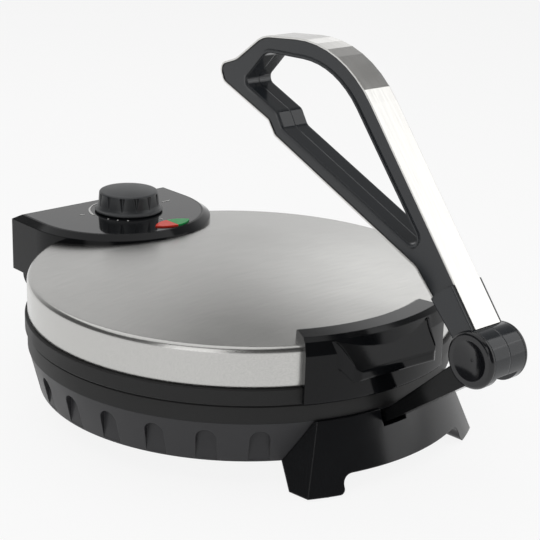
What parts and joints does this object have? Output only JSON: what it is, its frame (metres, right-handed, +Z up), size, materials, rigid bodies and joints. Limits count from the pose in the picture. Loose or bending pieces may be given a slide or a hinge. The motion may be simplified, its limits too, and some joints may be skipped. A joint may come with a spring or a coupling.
{
  "type": "electric roti maker",
  "caption": "Round electric roti maker with two heated plates, a hinged brushed steel lid with a thermostat housing, and a looped press lever at the front.",
  "frame": {"origin": "on the table, under the middle of the bounding box", "axes": "+X to the object's right seen from the lever's side, -Y towards the lever and the grip, +Z up"},
  "size_m": [0.2956, 0.4192, 0.2631],
  "materials": {
    "skirt_plastic": "satin dark grey phenolic",
    "ring_plastic": "fine grained charcoal phenolic",
    "black_plastic": "gloss black",
    "lever_plastic": "gloss bluish black",
    "panel_plastic": "gloss black",
    "knob_plastic": "matte dark grey",
    "steel_sheet": "satin brushed stainless sheet",
    "bright_steel": "polished",
    "screw_steel": "zinc plated",
    "plate_metal": "dark non-stick coat on cast aluminium",
    "element_steel": "heat-darkened tube",
    "pad_rubber": "matte",
    "ceramic": "cream ceramic and phenolic",
    "print_white": "white print",
    "lens_red": "translucent red",
    "lens_green": "translucent green"
  },
  "bodies": {
    "base": {"base_shell": "skirt_plastic", "base_ring": "ring_plastic", "front_leg_panel": "black_plastic", "rear_leg_panel": "black_plastic", "foot_pads": "pad_rubber", "bottom_cover": "skirt_plastic", "cover_screws": "screw_steel", "lower_plate": "plate_metal", "lower_element": "element_steel", "lower_reflector": "steel_sheet", "lower_cutout": "ceramic", "lower_terminal_block": "ceramic", "lever_bracket": "lever_plastic", "bracket_screws": "screw_steel", "hinge_pin": "bright_steel", "cord_gland": "pad_rubber"},
    "lid": {"lid_cover": "steel_sheet", "lid_ring": "ring_plastic", "upper_plate": "plate_metal", "upper_element": "element_steel", "upper_reflector": "steel_sheet", "thermal_fuse": "ceramic", "upper_terminal_block": "ceramic", "thermostat": "ceramic", "control_housing": "black_plastic", "control_panel": "panel_plastic", "dial_scale": "print_white", "lens_red": "lens_red", "lens_green": "lens_green", "indicator_lamps": "ceramic", "lid_handle": "black_plastic", "handle_screws": "screw_steel"},
    "knob": {"thermostat_knob": "knob_plastic", "thermostat_shaft": "bright_steel"},
    "lever": {"pivot_bolt": "bright_steel", "pivot_caps": "lever_plastic", "pivot_washers": "bright_steel", "lever_half_left": "lever_plastic", "lever_half_right": "lever_plastic", "lever_strip": "bright_steel", "lever_screws": "screw_steel"}
  },
  "joints": [
    {"name": "lid_hinge", "type": "hinge", "parent": "base", "child": "lid", "pos_m": [0, 0.1886, 0.0595], "axis": [-1, 0, 0], "range_deg": [0, 92]},
    {"name": "lever_swing", "type": "hinge", "parent": "base", "child": "lever", "pos_m": [0, -0.1924, 0.102], "axis": [1, 0, 0], "range_deg": [-28, 88]},
    {"name": "knob_turn", "type": "hinge", "parent": "lid", "child": "knob", "pos_m": [0.006, 0.1686, 0.105], "axis": [0, 0, 1], "range_deg": [0, 270]}
  ],
  "couplings": [
    {"joint": "lever_swing", "follows": "lid_hinge", "ratio": 0.9}
  ]
}
